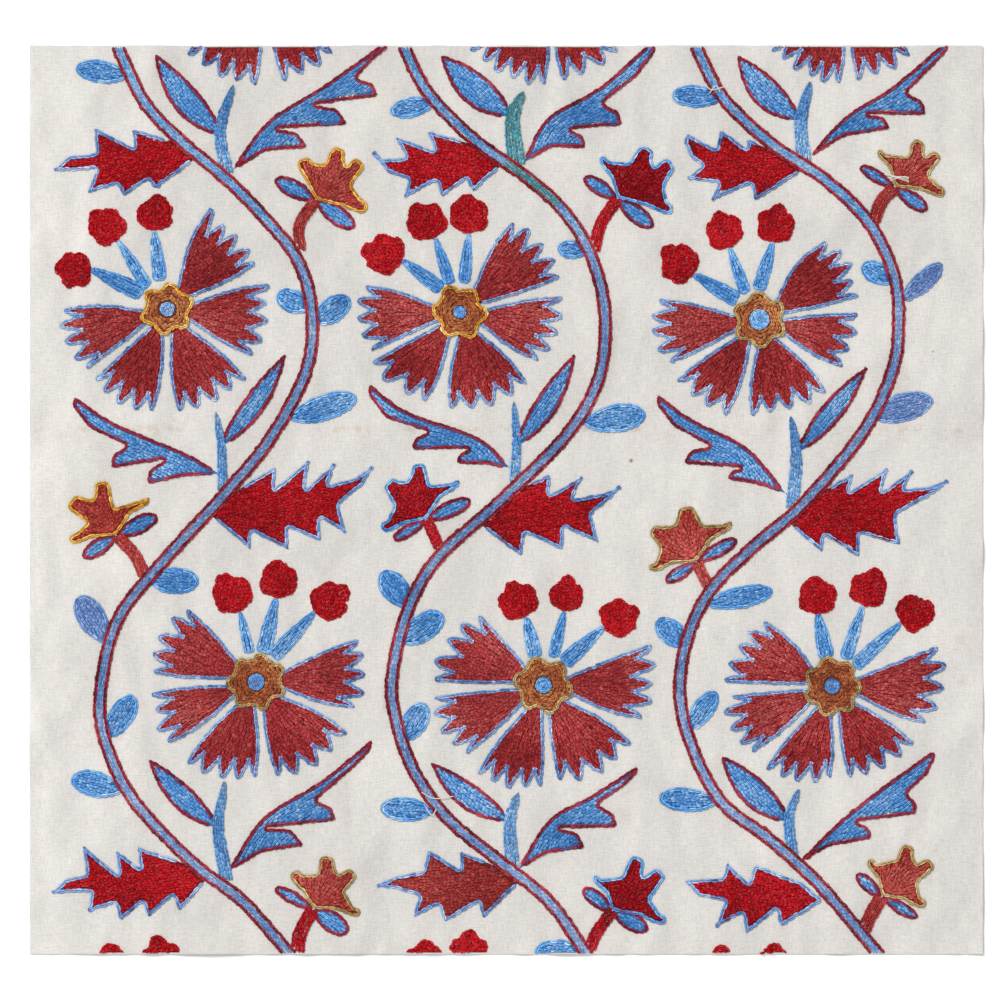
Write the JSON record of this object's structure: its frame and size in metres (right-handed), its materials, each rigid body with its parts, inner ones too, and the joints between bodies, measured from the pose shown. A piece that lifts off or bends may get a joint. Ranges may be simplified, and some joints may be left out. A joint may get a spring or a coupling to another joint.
{
  "type": "suzani embroidered textile panel",
  "caption": "Flat cream cotton panel with raised chain-stitched carnations, serrated leaves and winding blue vines, cut straight on every side.",
  "frame": {"origin": "middle of the underside, on the surface the panel lies on", "axes": "+Z out of the embroidered face; +Y towards the panel's top edge; +X along its long side, to the right as the face is seen"},
  "size_m": [0.45, 0.429, 0.003],
  "materials": {
    "cotton": "plain woven cream cotton, matt, lightly creased",
    "silk_blue": "chain-stitched silk thread, sky blue, soft sheen",
    "silk_crimson": "chain-stitched silk thread, crimson, soft sheen",
    "silk_scarlet": "chain-stitched silk thread, deep scarlet, soft sheen",
    "silk_madder": "chain-stitched silk thread, madder red, soft sheen",
    "silk_brown": "chain-stitched silk thread, rust brown, soft sheen"
  },
  "bodies": {
    "root": {"ground_cloth": "cotton", "vine_left": "silk_blue", "vine_middle": "silk_blue", "vine_right": "silk_blue", "carnation_1": "silk_crimson", "rosette_1": "silk_brown", "carnation_2": "silk_crimson", "rosette_2": "silk_brown", "carnation_3": "silk_crimson", "rosette_3": "silk_brown", "carnation_4": "silk_crimson", "rosette_4": "silk_brown", "carnation_5": "silk_crimson", "rosette_5": "silk_brown", "carnation_6": "silk_crimson", "rosette_6": "silk_brown", "serrated_leaf_1": "silk_scarlet", "serrated_leaf_2": "silk_scarlet", "serrated_leaf_3": "silk_scarlet", "serrated_leaf_4": "silk_scarlet", "serrated_leaf_5": "silk_scarlet", "serrated_leaf_6": "silk_scarlet", "serrated_leaf_7": "silk_scarlet", "serrated_leaf_8": "silk_scarlet", "serrated_leaf_9": "silk_scarlet", "side_flower_1": "silk_madder", "side_flower_2": "silk_madder", "side_flower_3": "silk_madder", "side_flower_4": "silk_madder", "side_flower_5": "silk_madder", "side_flower_6": "silk_madder", "side_flower_7": "silk_madder", "side_flower_8": "silk_madder", "side_flower_9": "silk_madder", "cut_petal_1": "silk_crimson", "cut_petal_2": "silk_crimson", "cut_petal_3": "silk_crimson", "cut_petal_4": "silk_crimson", "cut_petal_5": "silk_crimson", "cut_petal_6": "silk_crimson", "cut_bud_1": "silk_scarlet", "cut_bud_2": "silk_scarlet", "cut_bud_3": "silk_scarlet", "cut_bud_4": "silk_scarlet", "cut_bud_5": "silk_scarlet", "cut_bud_6": "silk_scarlet"}
  },
  "joints": []
}
